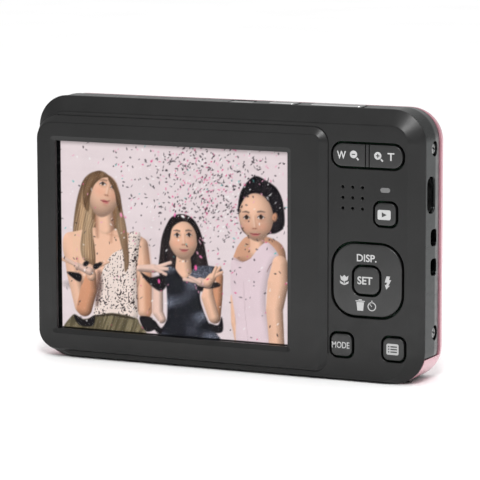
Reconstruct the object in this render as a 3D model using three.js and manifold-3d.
// A compact digital camera, built as the separate pieces it comes apart into.
// Millimetres. +X runs along the body towards the hand grip, +Y the way the lens points, +Z up.
// The origin is on the ground under the middle of the camera, and the display faces -Y.
import * as THREE from "three";
import { mergeVertices } from "three/addons/utils/BufferGeometryUtils.js";
import Module from "manifold-3d";

const wasm = await Module();
wasm.setup();

// ---------------------------------------------------------------- driving dimensions

const BODY = { width: 90, height: 57, corner: 7, wall: 1.5 };
const DEPTH = { plateau: 3.0, bevel: 2.14, rim: 0.45, ridge: 4.95, band: 7.9, side: 8.4, front: 12.4, lens: 15.4 };
const PARTING = (DEPTH.plateau - DEPTH.lens) / 2; // the plane where the back cover meets the side band
const PLATEAU_Y = PARTING - DEPTH.plateau;
const FACE_Y = PARTING - DEPTH.bevel;
const RIDGE_Y = PARTING + DEPTH.ridge;
const BAND_END_Y = PARTING + DEPTH.band;
const SIDE_END_Y = PARTING + DEPTH.side;
const FRONT_Y = PARTING + DEPTH.front;
const LENS_Y = PARTING + DEPTH.lens;
const SEAM = 0.15; // half of the gap left between two touching shells
const GAP = 0.3; // clearance between pieces that lie against each other
const BAND_FOOT = 5.5; // height at which the side band stops above the ground
const CORNER_STEPS = 6;

const FACE = { left: -41.7, right: 41.7, bottom: 0.6, top: 53.7, topRadius: 3.8, bottomRadius: 6 };
const PLATEAU = { left: -44.3, right: 22.3, bottom: 2.0, top: 51.3, slopeX: 1.6, slopeZ: 1.5 };
const WINDOW = { left: -40.1, right: 14.9, bottom: 6.35, top: 47.3, chamfer: 1.0 };
const COVER_SKIN = 1.1;
const PLATEAU_SKIN = 1.2;

const BUTTON_GAP = 0.4; // the dark gap round every button on the back
const BUTTON_PROUD = 0.25;
const ROCKER = { x: 32.85, z: 47.34, width: 16.4, height: 5.6, radius: 2.5 };
const PLAY = { x: 36.85, z: 35.45, width: 5.55, height: 5.55, radius: 1.7 };
const MODE = { x: 27.15, z: 7.62, width: 5.55, height: 5.55, radius: 1.7 };
const MENU = { x: 38.8, z: 7.52, width: 5.55, height: 5.55, radius: 1.7 };
const DPAD = { x: 32.86, z: 21.5, width: 16.3, height: 15.95, radius: 5.3 };
const SET = { x: 32.75, z: 21.45, width: 6.6, height: 6.6, radius: 2.1 };
const LED = { x: 36.76, z: 40.43, width: 2.15, height: 1.0 };
const SPEAKER = { x: 29.47, z: 38.5, pitch: 2.2, hole: 0.42 };

const TOP_BUTTONS = {
  power_button: { left: -0.5, right: 4.6, top: 56.95 },
  record_button: { left: 9.0, right: 14.8, top: 57.25 },
  shutter_button: { left: 18.5, right: 29.9, top: 57.25 },
};
const TOP_BUTTON_Y = { back: PARTING + 0.75, front: PARTING + 4.3 };

const USB = { y: PARTING + 2.85, z: 39.3, width: 3.7, height: 7.6, reach: 4.6 };
const STRAP = { y: PARTING + 4.35, z: 27.25, width: 3.1, height: 9.6, bar: 2.7, depth: 3.2 };
const SIDE_SCREWS = { upper: { y: PARTING + 4.6, z: 48.7 }, lower: { y: PARTING + 5.2, z: 10.3 } };
const SCREW = { head: 1.25, shank: 0.7, length: 4.2, recess: 1.55, sunk: 0.35 };

const LENS = { x: -24, z: 31, ring: 14, throat: 10.9 };
const FLASH = { x: 4, z: 48, width: 14, height: 6 };
const LAMP = { x: 15.5, z: 48, radius: 1.5 };
const MIC = { x: -9, z: 48.5, radius: 2.0, hole: 0.6 };
const TRIPOD = { x: -8, y: PARTING + 5.6, flange: 4.0, sleeve: 3.7, bore: 3.175, height: 6.2 };
const DOOR = { left: 6, right: 41, back: PARTING + 1.0, front: 4.9, skin: 1.3, pivotY: PARTING + 2.2, pivotZ: 1.3 };
const BATTERY = { width: 31.8, thickness: 4.9, height: 39.9, x: 22.5, y: 1.95, z: 3.4 };
const CARD = { width: 24, thickness: 2.1, height: 32, x: 22.5, y: -2.4, z: 2.6 };
const LCD = { left: -40.7, right: 17.0, bottom: 5.0, top: 48.4 };
const KEY_BOARD_Y = -5.0;
const DOME_HEIGHT = 0.4;

// ---------------------------------------------------------------- materials

function material(colour, roughness, metalness = 0) {
  return new THREE.MeshStandardMaterial({ color: colour, roughness, metalness });
}

const MATERIALS = {
  cover: material(0x3b3b3c, 0.48),
  shell: material(0xd39aa6, 0.3, 0.35),
  band: material(0x55585a, 0.22, 0.8),
  button: material(0x404041, 0.5),
  silver: material(0xb9bbbd, 0.28, 0.85),
  steel: material(0x8d9093, 0.35, 0.9),
  blackPlastic: material(0x151516, 0.45),
  glass: material(0x20242a, 0.05),
  clear: material(0xdfe6ea, 0.1),
  screen: material(0xe8d9dc, 0.2),
  board: material(0x1f5a3a, 0.6),
  chip: material(0x1b1b1c, 0.5),
  gold: material(0xc9a24a, 0.35, 0.9),
  battery: material(0x2b2d33, 0.6),
};

const camera = new THREE.Group();

function addPart(name, solid, look) {
  const mesh = new THREE.Mesh(geometryOf(solid), MATERIALS[look]);
  mesh.name = name;
  camera.add(mesh);
}

// ---------------------------------------------------------------- solids

function solidOf(geometry) {
  const open = geometry.clone();
  open.deleteAttribute("normal");
  open.deleteAttribute("uv");
  const merged = mergeVertices(open, 1e-4);
  const vertProperties = new Float32Array(merged.attributes.position.array);
  const triVerts = new Uint32Array(merged.index.array);
  const made = new wasm.Manifold(new wasm.Mesh({ numProp: 3, vertProperties, triVerts }));
  if (made.volume() >= 0) return made;
  for (let i = 0; i < triVerts.length; i += 3) {
    [triVerts[i + 1], triVerts[i + 2]] = [triVerts[i + 2], triVerts[i + 1]];
  }
  return new wasm.Manifold(new wasm.Mesh({ numProp: 3, vertProperties, triVerts }));
}

function geometryOf(solid) {
  const mesh = solid.getMesh();
  const geometry = new THREE.BufferGeometry();
  geometry.setAttribute("position", new THREE.BufferAttribute(mesh.vertProperties, 3));
  geometry.setIndex(new THREE.BufferAttribute(mesh.triVerts, 1));
  geometry.computeVertexNormals();
  return geometry;
}

function box(x0, x1, y0, y1, z0, z1) {
  const geometry = new THREE.BoxGeometry(x1 - x0, y1 - y0, z1 - z0);
  geometry.translate((x0 + x1) / 2, (y0 + y1) / 2, (z0 + z1) / 2);
  return solidOf(geometry);
}

// A round bar along X, Y or Z through the given centre point.
function rod(axis, radius, from, to, centre, sides = 16) {
  const geometry = new THREE.CylinderGeometry(radius, radius, to - from, sides);
  const middle = (from + to) / 2;
  if (axis === "x") geometry.rotateZ(Math.PI / 2).translate(middle, centre[0], centre[1]);
  if (axis === "y") geometry.translate(centre[0], middle, centre[1]);
  if (axis === "z") geometry.rotateX(Math.PI / 2).translate(centre[0], centre[1], middle);
  return solidOf(geometry);
}

// A turned piece on an axis along Y: the profile is a closed list of [radius, y].
function turned(profile, x, z, sides = 32) {
  const points = [...profile, profile[0]].map(([radius, y]) => new THREE.Vector2(radius, y));
  return solidOf(new THREE.LatheGeometry(points, sides).translate(x, 0, z));
}

// Points round a rectangle with its four corners rounded, anticlockwise from the bottom right.
function outline({ left, right, bottom, top }, radii, steps = CORNER_STEPS) {
  const corners = [
    [right - radii[0], bottom + radii[0], radii[0], -90],
    [right - radii[1], top - radii[1], radii[1], 0],
    [left + radii[2], top - radii[2], radii[2], 90],
    [left + radii[3], bottom + radii[3], radii[3], 180],
  ];
  const points = [];
  for (const [x, z, radius, start] of corners) {
    for (let i = 0; i <= steps; i++) {
      const angle = THREE.MathUtils.degToRad(start + (90 * i) / steps);
      points.push(new THREE.Vector2(x + radius * Math.cos(angle), z + radius * Math.sin(angle)));
    }
  }
  return points;
}

// A solid whose outline changes along Y: sections are [y, outline] with the same number of points.
function loft(sections) {
  const count = sections[0][1].length;
  const positions = [];
  for (const [y, points] of sections) {
    for (const point of points) positions.push(point.x, y, point.y);
  }
  const index = [];
  for (let s = 0; s + 1 < sections.length; s++) {
    for (let i = 0; i < count; i++) {
      const a = s * count + i;
      const b = s * count + ((i + 1) % count);
      index.push(a, a + count, b + count, a, b + count, b);
    }
  }
  const last = (sections.length - 1) * count;
  for (const [a, b, c] of THREE.ShapeUtils.triangulateShape(sections[0][1], [])) index.push(a, b, c);
  for (const [a, b, c] of THREE.ShapeUtils.triangulateShape(sections[sections.length - 1][1], [])) {
    index.push(last + a, last + c, last + b);
  }
  const geometry = new THREE.BufferGeometry();
  geometry.setAttribute("position", new THREE.Float32BufferAttribute(positions, 3));
  geometry.setIndex(index);
  return solidOf(geometry);
}

// The camera's own outline, drawn in by an inset.
function bodyOutline(inset) {
  const half = BODY.width / 2 - inset;
  const radius = Math.max(BODY.corner - inset, 0.5);
  const edges = { left: -half, right: half, bottom: inset, top: BODY.height - inset };
  return outline(edges, [radius, radius, radius, radius]);
}

function bodySlab(inset, y0, y1) {
  return loft([[y0, bodyOutline(inset)], [y1, bodyOutline(inset)]]);
}

// A pad with rounded corners round a centre, grown by an amount on every side.
function pad(shape, grow, y0, y1, steps = 4) {
  const halfWidth = shape.width / 2 + grow;
  const halfHeight = shape.height / 2 + grow;
  const radius = Math.max(shape.radius + grow, 0.2);
  const edges = {
    left: shape.x - halfWidth,
    right: shape.x + halfWidth,
    bottom: shape.z - halfHeight,
    top: shape.z + halfHeight,
  };
  const points = outline(edges, [radius, radius, radius, radius], steps);
  return loft([[y0, points], [y1, points]]);
}

// ---------------------------------------------------------------- casings

const SPEAKER_ROWS = [-1, 0, 1];

function speakerHoles(y0, y1) {
  let holes = null;
  for (const column of SPEAKER_ROWS) {
    for (const row of SPEAKER_ROWS) {
      const centre = [SPEAKER.x + column * SPEAKER.pitch, SPEAKER.z + row * SPEAKER.pitch];
      const hole = rod("y", SPEAKER.hole, y0, y1, centre, 8);
      holes = holes ? holes.add(hole) : hole;
    }
  }
  return holes;
}

function backCover() {
  const faceRadii = [FACE.bottomRadius, FACE.topRadius, FACE.topRadius, FACE.bottomRadius];
  const slab = loft([
    [FACE_Y, outline(FACE, faceRadii)],
    [PARTING - DEPTH.rim, bodyOutline(0)],
    [PARTING - SEAM, bodyOutline(0)],
  ]);
  const raised = loft([
    [PLATEAU_Y, outline(PLATEAU, [0.8, 0.8, 3.6, 4])],
    [
      FACE_Y,
      outline(
        {
          left: PLATEAU.left - 0.25,
          right: PLATEAU.right + PLATEAU.slopeX,
          bottom: PLATEAU.bottom - 0.5,
          top: PLATEAU.top + PLATEAU.slopeZ,
        },
        [2.2, 2.2, 5, 4.4],
      ),
    ],
    [
      PARTING - DEPTH.rim,
      outline({ left: -BODY.width / 2, right: 20, bottom: 1.2, top: BODY.height - 3.6 }, [1, 1, 5.6, 5.2]),
    ],
  ]);
  const cavity = loft([
    [FACE_Y + COVER_SKIN, outline({ left: -42.2, right: 42.2, bottom: 1.6, top: 54 }, [4.5, 4, 4, 4.5])],
    [PARTING, outline({ left: -43.4, right: 43.4, bottom: 1.6, top: 55.4 }, [5.4, 5.4, 5.4, 5.4])],
  ]);
  const plateauCavity = loft([
    [PLATEAU_Y + PLATEAU_SKIN, outline({ left: -42.8, right: 21.6, bottom: 3.2, top: 50.4 }, [1, 1, 2.5, 3])],
    [FACE_Y + COVER_SKIN + 0.1, outline({ left: -42.8, right: 21.6, bottom: 3.2, top: 50.4 }, [1, 1, 2.5, 3])],
  ]);
  const grown = {
    left: WINDOW.left - WINDOW.chamfer,
    right: WINDOW.right + WINDOW.chamfer,
    bottom: WINDOW.bottom - WINDOW.chamfer,
    top: WINDOW.top + WINDOW.chamfer,
  };
  const windowHole = loft([
    [PLATEAU_Y - 0.01, outline(grown, [0.8, 0.8, 0.8, 0.8], 2)],
    [PLATEAU_Y + 0.5, outline(WINDOW, [0.3, 0.3, 0.3, 0.3], 2)],
    [PLATEAU_Y + 2.2, outline(WINDOW, [0.3, 0.3, 0.3, 0.3], 2)],
  ]);
  let cover = slab.add(raised).subtract(cavity).subtract(plateauCavity).subtract(windowHole);
  for (const shape of [ROCKER, PLAY, MODE, MENU, DPAD]) {
    cover = cover.subtract(pad(shape, 0, FACE_Y - 1, PARTING));
  }
  const ledHole = { ...LED, radius: 0.3 };
  return cover.subtract(pad(ledHole, 0.12, FACE_Y - 1, PARTING, 1)).subtract(speakerHoles(FACE_Y - 1, PARTING));
}

// The countersunk hole of a side screw: side is 1 on the right and -1 on the left.
function screwRecess(side, spot) {
  const ends = [side * (BODY.width / 2 - 4), side * (BODY.width / 2 + 1)];
  return rod("x", SCREW.recess, Math.min(...ends), Math.max(...ends), [spot.y, spot.z], 14);
}

function usbPad(grow, x0, x1) {
  const stadium = { x: 0, z: 0, width: USB.width, height: USB.height, radius: 1.7 };
  return pad(stadium, grow, 0, x1 - x0, 3).rotate([0, 0, -90]).translate([x0, USB.y, USB.z]);
}

function strapSlot(direction) {
  const height = (STRAP.height - STRAP.bar) / 2;
  const centre = STRAP.z + (direction * (STRAP.bar + height)) / 2;
  const y0 = STRAP.y - STRAP.width / 2;
  const y1 = STRAP.y + STRAP.width / 2;
  return box(BODY.width / 2 - 2.5, BODY.width / 2 + 1, y0, y1, centre - height / 2, centre + height / 2);
}

function topButtonHole(button, grow, z0, z1) {
  const { back, front } = TOP_BUTTON_Y;
  return box(button.left - grow, button.right + grow, back - grow, front + grow, z0, z1);
}

function sideBand() {
  const outer = loft([
    [PARTING + SEAM, bodyOutline(0.3)],
    [RIDGE_Y, bodyOutline(0)],
    [BAND_END_Y, bodyOutline(0.3)],
  ]);
  let band = outer.subtract(bodySlab(BODY.wall, PARTING - 1, BAND_END_Y + 1));
  band = band.subtract(box(-60, 60, -20, 20, -5, BAND_FOOT));
  band = band.subtract(usbPad(0, 40, 50)).subtract(strapSlot(-1)).subtract(strapSlot(1));
  for (const spot of Object.values(SIDE_SCREWS)) {
    band = band.subtract(screwRecess(1, spot)).subtract(screwRecess(-1, spot));
  }
  for (const button of Object.values(TOP_BUTTONS)) {
    band = band.subtract(topButtonHole(button, 0.25, 50, 60));
  }
  return band;
}

// The front shell's outer skin: straight sides, then a quarter-round edge to the flat front.
function frontSkin(inset, radius, backY) {
  const sections = [[backY, bodyOutline(inset)]];
  for (let i = 0; i <= CORNER_STEPS; i++) {
    const angle = (Math.PI / 2) * (i / CORNER_STEPS);
    sections.push([
      SIDE_END_Y + radius * Math.sin(angle),
      bodyOutline(inset + radius * (1 - Math.cos(angle))),
    ]);
  }
  return loft(sections);
}

const EDGE_RADIUS = DEPTH.front - DEPTH.side;

function frontShell() {
  const skin = frontSkin(0, EDGE_RADIUS, PARTING + SEAM);
  const bandPocket = bodySlab(-1, PARTING - 1, BAND_END_Y + GAP)
    .subtract(bodySlab(BODY.wall + GAP, PARTING - 2, BAND_END_Y + 2))
    .subtract(box(-60, 60, -20, 20, -5, BAND_FOOT - GAP));
  const cavity = frontSkin(BODY.wall, EDGE_RADIUS - 1.4, PARTING - 1);
  const aboveFoot = box(-60, 60, -20, 0.1, BAND_FOOT - GAP, 60);
  let shell = skin.subtract(bandPocket).subtract(aboveFoot);
  shell = shell.subtract(cavity.subtract(lipRing()));
  shell = shell.subtract(rod("y", LENS.throat, 0, 10, [LENS.x, LENS.z], 32));
  shell = shell.subtract(pad({ ...FLASH, radius: 1.4 }, 0, 4, 8, 3));
  shell = shell.subtract(rod("y", LAMP.radius + 0.15, 4, 8, [LAMP.x, LAMP.z]));
  shell = shell.subtract(rod("y", MIC.hole, 4, 8, [MIC.x, MIC.z], 8));
  shell = shell.subtract(box(DOOR.left - GAP, DOOR.right + GAP, DOOR.back - GAP, DOOR.front + GAP, -1, 3.4));
  shell = shell.subtract(rod("z", TRIPOD.flange + 0.15, -1, 3, [TRIPOD.x, TRIPOD.y]));
  for (const screw of Object.values(BOTTOM_SCREWS)) {
    shell = shell.subtract(rod("z", SCREW.recess, -1, 5, [screw.x, screw.y], 12));
  }
  return shell.subtract(strapPocketBlock(GAP));
}

// The lip that stands inside the band and lines the front shell up with it.
function lipRing() {
  const ring = bodySlab(BODY.wall - 0.1, 0.1, BAND_END_Y + 1).subtract(bodySlab(2.8, 0, BAND_END_Y + 2));
  return ring.subtract(box(-60, 60, -20, 20, -5, BAND_FOOT - GAP));
}

// A frame just inside the band: the side screws go through the band into it.
function chassis() {
  const outer = bodySlab(BODY.wall + GAP, PARTING + GAP, -0.3);
  let frame = outer.subtract(bodySlab(2.7, PARTING, 0));
  frame = frame.subtract(usbPad(GAP, 40, 50)).subtract(strapPocketBlock(GAP));
  frame = frame.subtract(box(TRIPOD.x - TRIPOD.flange - 1, DOOR.right + 1, -8, 2, -1, 4));
  frame = frame.subtract(box(-2.5, 32, -8, -1, 52.5, 56));
  for (const spot of Object.values(SIDE_SCREWS)) {
    frame = frame.subtract(rod("x", SCREW.shank + 0.15, -46, 46, [spot.y, spot.z], 10));
  }
  for (const screw of Object.values(BOTTOM_SCREWS)) {
    frame = frame.subtract(rod("z", SCREW.shank + 0.15, -1, 6, [screw.x, screw.y], 10));
  }
  return frame;
}

// ---------------------------------------------------------------- display

function display() {
  addPart("display_window", box(-42, 17.4, -7.7, -7.3, 4.4, 49.2), "clear");
  addPart("lcd_panel", box(LCD.left, LCD.right, -7.0, -6.0, LCD.bottom, LCD.top), "screen");
  addPart("lcd_backlight", box(LCD.left, LCD.right, -5.7, -5.1, LCD.bottom, LCD.top), "clear");
  const tray = box(LCD.left - 0.6, LCD.right + 0.6, -6.9, -4.5, LCD.bottom - 0.6, LCD.top + 0.6);
  const inside = box(LCD.left - 0.3, LCD.right + 0.3, -7.5, -4.8, LCD.bottom - 0.3, LCD.top + 0.3);
  const ribbonSlot = box(-20, -8, -8, -4.9, LCD.bottom - 2, LCD.bottom);
  addPart("lcd_frame", tray.subtract(inside).subtract(ribbonSlot), "steel");
}

// ---------------------------------------------------------------- electronics

const ROCKER_DOME = 5.2;
const DPAD_DOME = 5.6;

function keyBoard() {
  let board = box(24.2, 41.0, KEY_BOARD_Y, KEY_BOARD_Y + 0.6, 4.4, 51.8);
  board = board.subtract(box(38.6, 42, -8, 0, USB.z - 4.4, USB.z + 4.4));
  const domes = [
    [ROCKER.x - ROCKER_DOME, ROCKER.z],
    [ROCKER.x + ROCKER_DOME, ROCKER.z],
    [PLAY.x, PLAY.z],
    [MODE.x, MODE.z],
    [MENU.x, MENU.z],
    [SET.x, SET.z],
    [DPAD.x - DPAD_DOME, DPAD.z],
    [DPAD.x + DPAD_DOME, DPAD.z],
    [DPAD.x, DPAD.z - DPAD_DOME],
    [DPAD.x, DPAD.z + DPAD_DOME],
  ];
  for (const dome of domes) {
    board = board.add(rod("y", 1.4, KEY_BOARD_Y - DOME_HEIGHT, KEY_BOARD_Y + 0.1, dome, 8));
  }
  const led = box(LED.x - 0.6, LED.x + 0.6, KEY_BOARD_Y - 0.5, KEY_BOARD_Y + 0.1, LED.z - 0.4, LED.z + 0.4);
  return board.add(led);
}

function electronics() {
  const mainBoard = box(-40.9, 5, -4.1, -3.5, 4.4, 52.6).add(box(4.9, 40.9, -4.1, -3.5, 45, 52));
  const bushNotch = rod("z", TRIPOD.sleeve + GAP, 0, TRIPOD.height + GAP, [TRIPOD.x, TRIPOD.y], 12);
  addPart("main_board", mainBoard.subtract(bushNotch), "board");
  addPart("processor_chip", box(-12, 0, -3.2, -2.2, 33, 45), "chip");
  addPart("memory_chip", box(-12, -1, -3.2, -2.3, 18, 30), "chip");
  addPart("key_board", keyBoard(), "board");
  addPart("speaker", box(25.6, 32.9, -6.9, -5.3, 34.8, 42.2), "blackPlastic");
  addPart("led_light_pipe", lightPipe(), "clear");

  let switches = box(-2, 31.5, PARTING + 0.5, PARTING + 3.9, 52.9, 53.5);
  for (const button of Object.values(TOP_BUTTONS)) {
    const middle = (button.left + button.right) / 2;
    switches = switches.add(rod("z", 1.4, 53.4, 53.8, [middle, PARTING + 2.5], 8));
  }
  addPart("top_switch_board", switches, "board");
}

function lightPipe() {
  const tip = pad({ ...LED, radius: 0.3 }, 0, FACE_Y + 0.02, -6.9, 1);
  return tip.add(pad({ ...LED, radius: 0.3 }, 0.5, -6.95, -5.8, 1));
}

function usbPort() {
  const inset = BODY.width / 2 - 0.7;
  const shell = usbPad(-0.2, inset - USB.reach, inset).subtract(usbPad(-0.5, inset - USB.reach + 0.5, inset + 1));
  addPart("usb_shell", shell, "steel");
  const x0 = inset - USB.reach + 0.8;
  addPart("usb_tongue", box(x0, inset - 0.9, USB.y + 0.1, USB.y + 0.9, USB.z - 2.4, USB.z + 2.4), "blackPlastic");
}

function strapPocketBlock(grow) {
  const outer = BODY.width / 2 - BODY.wall - GAP + grow;
  const inner = BODY.width / 2 - BODY.wall - STRAP.depth - grow;
  const y0 = STRAP.y - STRAP.width / 2 - 0.4 - grow;
  const y1 = STRAP.y + STRAP.width / 2 + 0.4 + grow;
  const halfHeight = STRAP.height / 2 + 0.6 + grow;
  return box(inner, outer, y0, y1, STRAP.z - halfHeight, STRAP.z + halfHeight);
}

function strapPocket() {
  const y0 = STRAP.y - STRAP.width / 2;
  const y1 = STRAP.y + STRAP.width / 2;
  const inner = BODY.width / 2 - BODY.wall - STRAP.depth + 0.6;
  const room = box(inner, 50, y0, y1, STRAP.z - STRAP.height / 2, STRAP.z + STRAP.height / 2);
  return strapPocketBlock(0).subtract(room);
}

// ---------------------------------------------------------------- fasteners

const BOTTOM_SCREWS = {
  bottom_screw_outer: { x: -37, y: PARTING + 4.2 },
  bottom_screw_inner: { x: -19, y: PARTING + 4.2 },
};

// A cross-head screw along Z, its head at the bottom, facing down.
function screwDown() {
  const head = rod("z", SCREW.head, 0, 0.8, [0, 0], 14);
  const shank = rod("z", SCREW.shank - 0.05, 0.7, SCREW.length, [0, 0], 8);
  const slotLength = 0.75;
  const slotWidth = 0.16;
  const cross = box(-slotLength, slotLength, -slotWidth, slotWidth, -1, 0.4).add(
    box(-slotWidth, slotWidth, -slotLength, slotLength, -1, 0.4),
  );
  return head.add(shank).subtract(cross);
}

function fasteners() {
  for (const [name, spot] of Object.entries(SIDE_SCREWS)) {
    const depth = BODY.width / 2 - SCREW.sunk;
    const right = screwDown().rotate([0, -90, 0]).translate([depth, spot.y, spot.z]);
    const left = screwDown().rotate([0, 90, 0]).translate([-depth, spot.y, spot.z]);
    addPart(`right_screw_${name}`, right, "steel");
    addPart(`left_screw_${name}`, left, "steel");
  }
  for (const [name, screw] of Object.entries(BOTTOM_SCREWS)) {
    addPart(name, screwDown().translate([screw.x, screw.y, SCREW.sunk]), "steel");
  }
  const flange = rod("z", TRIPOD.flange, 0.2, 1.2, [TRIPOD.x, TRIPOD.y], 24);
  const sleeve = rod("z", TRIPOD.sleeve, 1.1, TRIPOD.height, [TRIPOD.x, TRIPOD.y], 24);
  const bore = rod("z", TRIPOD.bore, -1, TRIPOD.height - 0.8, [TRIPOD.x, TRIPOD.y], 24);
  addPart("tripod_bush", flange.add(sleeve).subtract(bore), "steel");
}

// ---------------------------------------------------------------- power and memory

const BAY = { left: 5.6, right: 39.4, back: -4.1, front: 4.4, bottom: 3.2, top: 44.2 };
const HINGE_LUGS = [15, 29];

function batteryBay() {
  let bay = box(BAY.left, BAY.right, BAY.back, BAY.front, BAY.bottom, BAY.top);
  const cardHalf = CARD.width / 2 + 0.4;
  bay = bay.subtract(box(CARD.x - cardHalf, CARD.x + cardHalf, -3.7, -1.1, 0, 39));
  bay = bay.subtract(box(BAY.left + 0.6, BAY.right - 0.6, -0.8, 6, 0, 43.6));
  bay = bay.subtract(box(28, 36, 0, 4, 40, 46));
  for (const x of HINGE_LUGS) {
    const lug = box(x, x + 3, DOOR.pivotY - 0.9, DOOR.pivotY + 0.3, 0.6, BAY.bottom + 0.1);
    bay = bay.add(lug);
  }
  return bay.subtract(rod("x", 0.6, 0, 50, [DOOR.pivotY, DOOR.pivotZ], 12));
}

function power() {
  const pinFrom = DOOR.left + 3;
  const pinTo = DOOR.right - 3;
  addPart("battery_bay", batteryBay(), "blackPlastic");
  addPart("door_hinge_pin", rod("x", 0.42, pinFrom, pinTo, [DOOR.pivotY, DOOR.pivotZ], 12), "steel");
  const halfThick = BATTERY.thickness / 2;
  const cell = { x: BATTERY.x, z: BATTERY.z + BATTERY.height / 2, width: BATTERY.width, height: BATTERY.height };
  const pack = pad({ ...cell, radius: 1.5 }, 0, BATTERY.y - halfThick, BATTERY.y + halfThick, 3);
  addPart("battery", pack, "battery");
  addPart("battery_contacts", box(28.3, 35.7, 0.3, 3.7, 43.6, 46), "gold");

  const cardEdge = CARD.x + CARD.width / 2;
  const notch = box(cardEdge - 2.5, cardEdge + 1, -9, 9, 31, 40);
  const cardLeft = CARD.x - CARD.width / 2;
  const cardY0 = CARD.y - CARD.thickness / 2;
  const cardY1 = CARD.y + CARD.thickness / 2;
  const card = box(cardLeft, cardEdge, cardY0, cardY1, CARD.z, CARD.z + CARD.height);
  addPart("memory_card", card.subtract(notch), "blackPlastic");
  addPart("card_contacts", box(CARD.x - 11, CARD.x + 11, -3.4, -1.4, 35, 38.7), "gold");
}

// The battery and card door: a slice of the front shell's bottom along a hinge barrel.
function batteryDoor() {
  const { left, right, back, front, skin, pivotY, pivotZ } = DOOR;
  const slice = frontSkin(0, EDGE_RADIUS, PARTING + SEAM).intersect(
    box(left, right, pivotY, front, -1, 2.9),
  );
  const inside = frontSkin(skin, EDGE_RADIUS - skin, PARTING - 2).intersect(
    box(left - 1, right + 1, back - 5, front + 5, skin, 6),
  );
  let door = slice.subtract(inside);
  door = door.add(rod("x", 1.25, left, right, [pivotY, pivotZ], 16));
  for (const x of HINGE_LUGS) {
    door = door.subtract(rod("x", 1.55, x - GAP, x + 3 + GAP, [pivotY, pivotZ], 16));
  }
  const fingerNick = rod("y", 2.2, front - 1.2, front + 1, [(left + right) / 2, -0.6], 16);
  return door.subtract(rod("x", 0.6, left - 1, right + 1, [pivotY, pivotZ], 12)).subtract(fingerNick);
}

// ---------------------------------------------------------------- lens, flash and front fittings

function lens() {
  const { x, z, ring, throat } = LENS;
  const seat = FRONT_Y + GAP;
  addPart("lens_ring", turned([
    [ring, seat], [ring, LENS_Y - 1.2], [ring - 0.9, LENS_Y], [ring - 2.2, LENS_Y], [ring - 3.0, LENS_Y - 0.9],
    [throat - 1.0, LENS_Y - 0.9], [throat - 1.0, 4.4], [throat - 0.2, 4.4], [throat - 0.2, seat],
  ], x, z, 40), "silver");
  addPart("lens_shroud", turned([
    [throat - 1.3, LENS_Y - 1.4], [throat - 1.3, LENS_Y - 2.4], [4.8, LENS_Y - 3.2], [4.8, LENS_Y - 2.4],
  ], x, z), "blackPlastic");
  addPart("lens_window", rod("y", 6.2, LENS_Y - 4.3, LENS_Y - 3.6, [x, z], 28), "glass");
  addPart("lens_barrel", turned([
    [5.0, 4.6], [5.0, -0.6], [3.6, -0.6], [3.6, 4.6],
  ], x, z, 24), "blackPlastic");
  addPart("front_element", turned([[0, 4.3], [1.6, 4.15], [3.2, 3.6], [3.2, 2.6], [0, 2.6]], x, z, 20), "glass");
  addPart("rear_element", rod("y", 3.2, 0.2, 1.4, [x, z], 20), "glass");
  const holder = box(x - 7, x + 7, -2.2, 2.6, z - 7, z + 7);
  const sensorRoom = box(x - 5, x + 5, -3, -0.9, z - 4.4, z + 4.4);
  addPart("lens_holder", holder.subtract(rod("y", 5.3, -0.95, 3, [x, z], 24)).subtract(sensorRoom), "blackPlastic");
  addPart("image_sensor", box(x - 4.2, x + 4.2, -2.2, -1.2, z - 3.6, z + 3.6), "glass");
  addPart("sensor_board", box(x - 8, x + 8, -3.2, -2.5, z - 8, z + 8), "board");
}

function frontFittings() {
  const windowShape = { ...FLASH, radius: 1.4 };
  addPart("flash_window", pad(windowShape, -0.15, 5.0, FRONT_Y + 0.05, 3), "clear");
  const half = FLASH.width / 2 - 0.5;
  const trough = box(FLASH.x - half, FLASH.x + half, 0.6, 4.7, FLASH.z - 2.8, FLASH.z + 2.8);
  const hollow = box(FLASH.x - half + 0.4, FLASH.x + half - 0.4, 1.1, 6, FLASH.z - 2.3, FLASH.z + 2.3);
  addPart("flash_reflector", trough.subtract(hollow), "silver");
  addPart("flash_tube", rod("x", 0.9, FLASH.x - half + 0.8, FLASH.x + half - 0.8, [2.4, FLASH.z], 12), "clear");
  addPart("flash_capacitor", rod("x", 3.0, 13, 38, [1.0, 50.0], 16), "blackPlastic");
  addPart("timer_lamp", rod("y", LAMP.radius, 4.5, FRONT_Y + 0.05, [LAMP.x, LAMP.z], 16), "clear");
  addPart("microphone", rod("y", MIC.radius, 2.8, 4.4, [MIC.x, MIC.z], 16), "steel");
}

// ---------------------------------------------------------------- buttons

const FLANGE = { y: -6.9, thickness: 0.45, overhang: 0.5 };

// A push button: a cap through the cover, a flange behind it and a plunger over its dome switch.
function pushButton(shape) {
  const cap = pad(shape, -BUTTON_GAP, FACE_Y - BUTTON_PROUD, FLANGE.y + 0.1);
  const flange = pad(shape, FLANGE.overhang, FLANGE.y, FLANGE.y + FLANGE.thickness);
  const plunger = rod("y", 0.9, FLANGE.y + 0.3, -5.75, [shape.x, shape.z], 10);
  return cap.add(flange).add(plunger);
}

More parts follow.
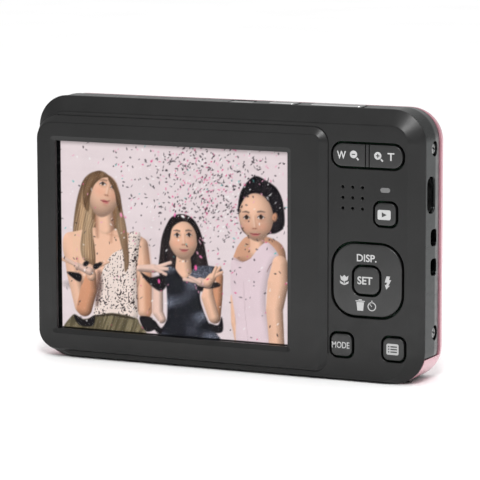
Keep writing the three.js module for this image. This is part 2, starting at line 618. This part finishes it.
function zoomRocker() {
  const seat = -6.75;
  let rocker = pad(ROCKER, -BUTTON_GAP, FACE_Y - BUTTON_PROUD, seat + 0.1);
  rocker = rocker.add(pad(ROCKER, 0.3, seat, seat + 0.4));
  const groove = box(ROCKER.x - 0.45, ROCKER.x + 0.45, FACE_Y - 1, FACE_Y + 0.35, 40, 55);
  for (const side of [-1, 1]) {
    rocker = rocker.add(rod("y", 0.9, seat + 0.3, -5.8, [ROCKER.x + side * ROCKER_DOME, ROCKER.z], 10));
  }
  return rocker.subtract(groove);
}

function directionPad() {
  const seat = -6.75;
  let ring = pad(DPAD, -BUTTON_GAP, FACE_Y - BUTTON_PROUD, seat + 0.1);
  ring = ring.add(pad(DPAD, 0.4, seat, seat + 0.4));
  ring = ring.subtract(pad(SET, 0, FACE_Y - 1, -6));
  for (const [dx, dz] of [[-1, 0], [1, 0], [0, -1], [0, 1]]) {
    ring = ring.add(rod("y", 0.8, seat + 0.3, -5.85, [DPAD.x + dx * DPAD_DOME, DPAD.z + dz * DPAD_DOME], 8));
  }
  return ring;
}

function backButtons() {
  addPart("zoom_rocker", zoomRocker(), "button");
  addPart("play_button", pushButton(PLAY), "button");
  addPart("mode_button", pushButton(MODE), "button");
  addPart("menu_button", pushButton(MENU), "button");
  addPart("direction_pad", directionPad(), "button");
  addPart("pad_gimbal", turned([[4.1, -6.1], [4.6, -6.1], [4.6, -5.75], [4.1, -5.75]], SET.x, SET.z, 20), "steel");
  const setCap = pad(SET, -BUTTON_GAP, FACE_Y - BUTTON_PROUD, -6.0);
  addPart("set_button", setCap.add(rod("y", 3.75, -6.1, -5.8, [SET.x, SET.z], 20)), "button");
}

function topButtons() {
  const { back, front } = TOP_BUTTON_Y;
  for (const [name, button] of Object.entries(TOP_BUTTONS)) {
    const middle = (button.left + button.right) / 2;
    const cap = box(button.left, button.right, back, front, 54.9, button.top);
    const flange = box(button.left - 0.6, button.right + 0.6, back - 0.3, front + 0.6, 54.6, 55.1);
    const plunger = rod("z", 0.9, 54.15, 54.7, [middle, PARTING + 2.5], 10);
    addPart(name, cap.add(flange).add(plunger), "silver");
  }
}

// ---------------------------------------------------------------- assembly

addPart("back_cover", backCover(), "cover");
addPart("side_band", sideBand(), "band");
addPart("front_shell", frontShell(), "shell");
addPart("chassis", chassis(), "steel");
display();
electronics();
usbPort();
addPart("strap_pocket", strapPocket(), "blackPlastic");
fasteners();
power();
addPart("battery_door", batteryDoor(), "blackPlastic");
lens();
frontFittings();
backButtons();
topButtons();

export default camera;
